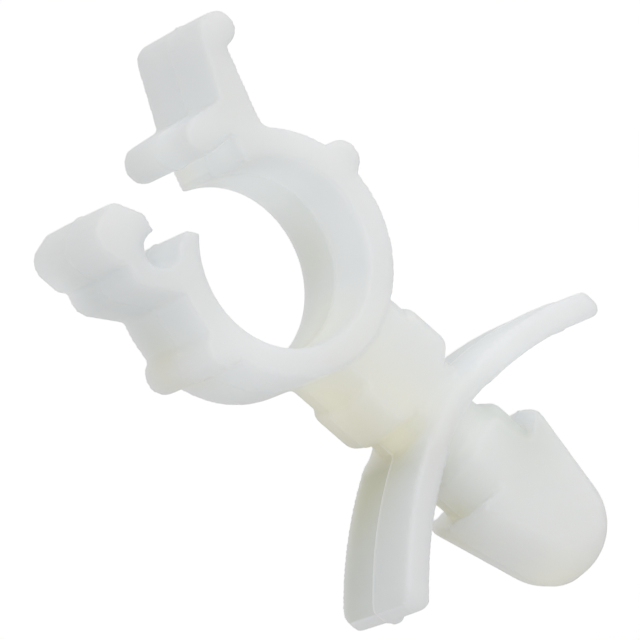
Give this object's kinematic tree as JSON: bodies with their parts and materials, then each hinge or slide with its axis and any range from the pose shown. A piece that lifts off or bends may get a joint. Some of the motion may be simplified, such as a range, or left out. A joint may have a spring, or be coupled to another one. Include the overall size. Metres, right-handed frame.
{
  "type": "wire saddle clip",
  "caption": "Moulded wire saddle: a snap-shut ring with a release lever on a stem with spring wings and an arrow head for a panel hole.",
  "frame": {"origin": "on the stem axis, at the height where the barbs of the arrow head meet the far side of a panel", "axes": "+Z along the stem from the arrow head to the ring, +Y along the ring's bore, +X from the release lever's side to the hook's side"},
  "size_m": [0.017, 0.0052, 0.0277],
  "materials": {
    "nylon": "natural translucent nylon, smooth as moulded"
  },
  "bodies": {
    "root": {"saddle_clip": "nylon"}
  },
  "joints": []
}
